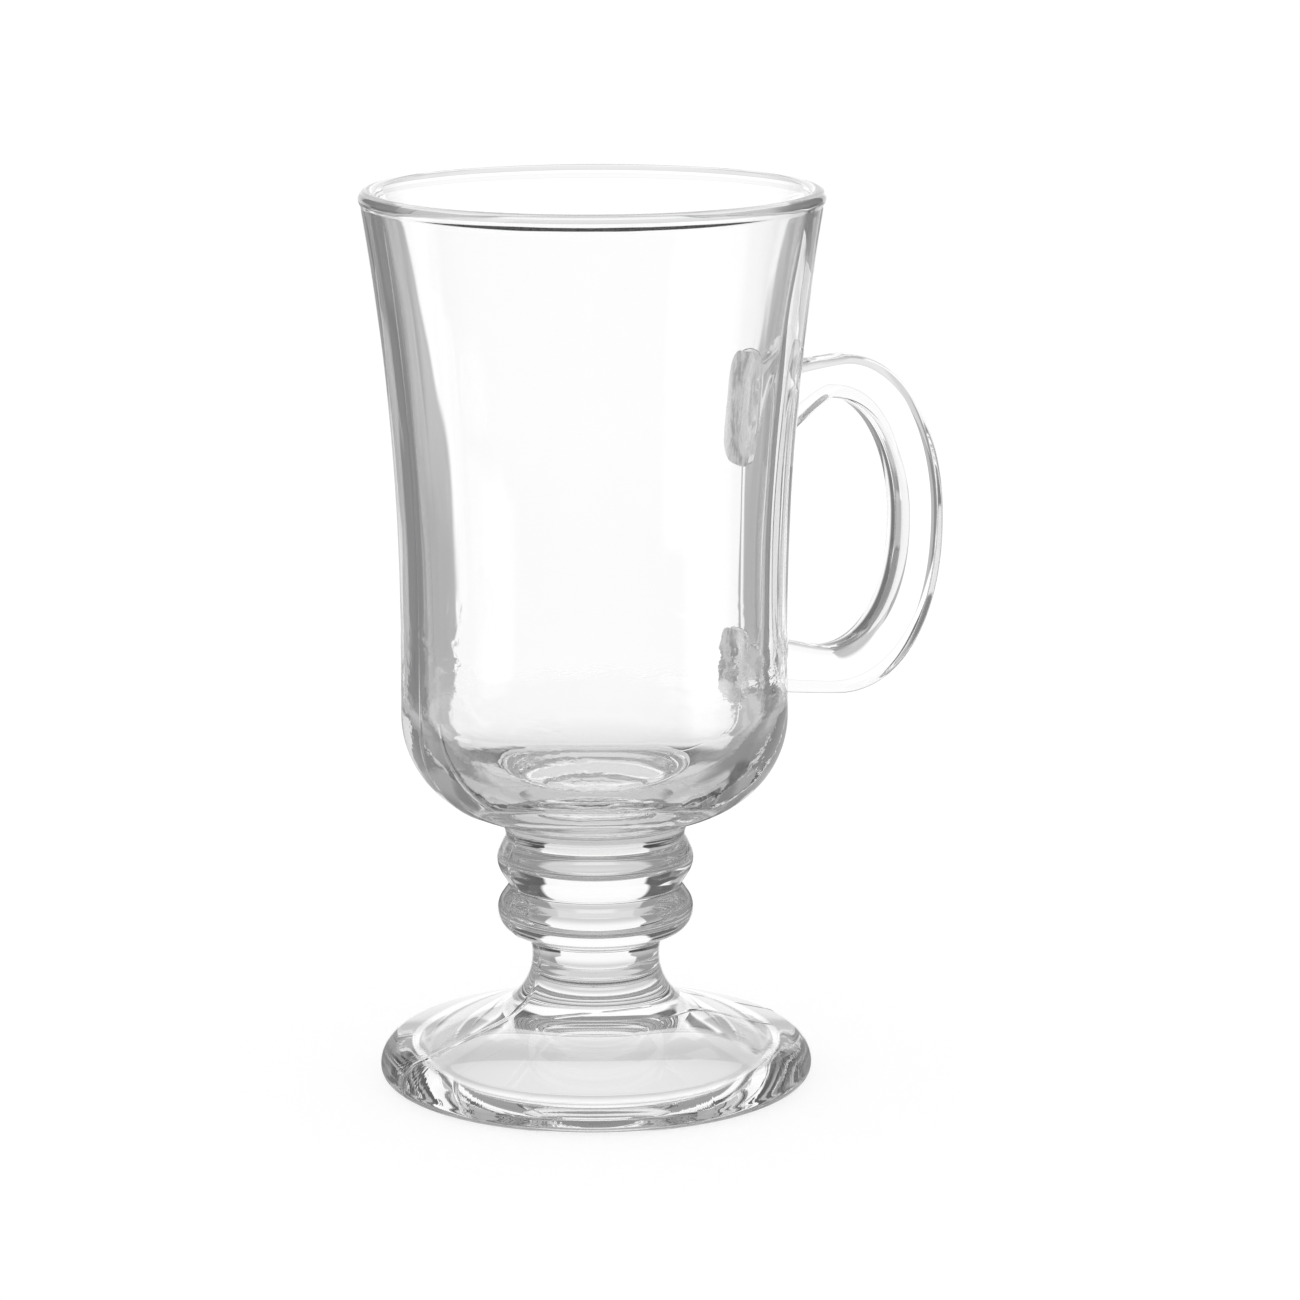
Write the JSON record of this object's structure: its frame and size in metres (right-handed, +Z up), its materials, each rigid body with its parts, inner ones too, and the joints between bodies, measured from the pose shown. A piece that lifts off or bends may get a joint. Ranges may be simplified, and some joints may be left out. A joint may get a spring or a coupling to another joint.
{
  "type": "irish coffee glass mug",
  "caption": "Clear glass mug for hot drinks: a tall flared bowl on a short knopped stem, with a domed foot and a D-shaped handle.",
  "frame": {"origin": "on the axis of the glass, in the plane of the ring that the foot stands on", "axes": "+Z up along the axis of the glass, from foot to rim; +X from the axis towards the handle, so the XZ plane cuts the handle in half"},
  "size_m": [0.1044, 0.076, 0.149],
  "materials": {
    "bowl_glass": "clear, fire-polished, very smooth",
    "stem_glass": "clear, fire-polished, pressed in a mould",
    "foot_glass": "clear, fire-polished, pressed in a mould",
    "handle_glass": "clear, fire-polished, with softened mould lines"
  },
  "bodies": {
    "root": {"bowl": "bowl_glass", "upper_knop": "stem_glass", "lower_knop": "stem_glass", "neck": "stem_glass", "foot": "foot_glass", "handle": "handle_glass"}
  },
  "joints": []
}
